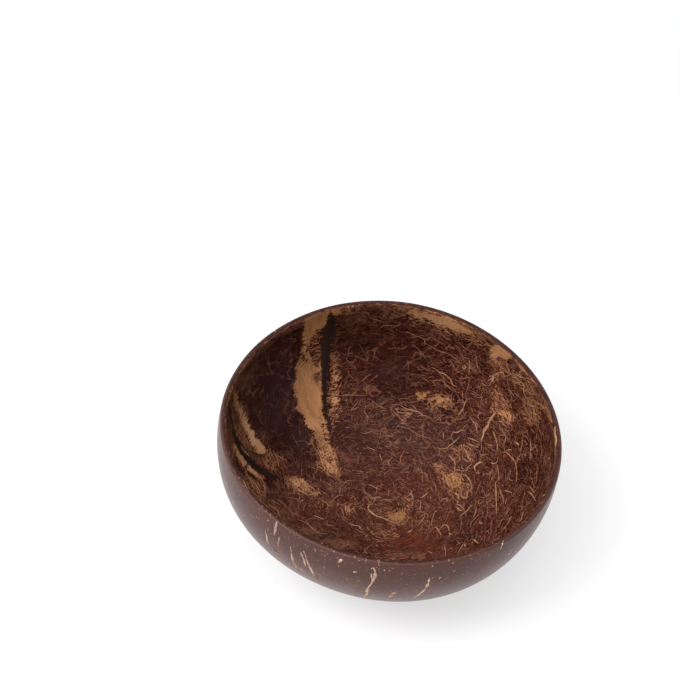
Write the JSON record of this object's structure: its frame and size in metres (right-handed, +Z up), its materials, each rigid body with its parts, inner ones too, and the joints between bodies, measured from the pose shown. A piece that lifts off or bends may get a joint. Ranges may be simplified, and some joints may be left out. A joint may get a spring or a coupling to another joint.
{
  "type": "coconut shell bowl",
  "caption": "Round open bowl made from half of a coconut's hard shell, with a hand-cut rounded rim, dark fibre-flecked wall and small sanded base.",
  "frame": {"origin": "middle of the bowl's outline on the plane it stands on, under the sanded base", "axes": "+Z up out of the bowl's mouth, -Y towards the front that the picture shows, +X to the right; the rim's high side is towards -X"},
  "size_m": [0.1268, 0.1338, 0.0598],
  "materials": {
    "coconut_shell": "sanded and oiled to a satin sheen, dark brown with straw-coloured fibres and tan bands along the seams"
  },
  "bodies": {
    "root": {"shell": "coconut_shell"}
  },
  "joints": []
}
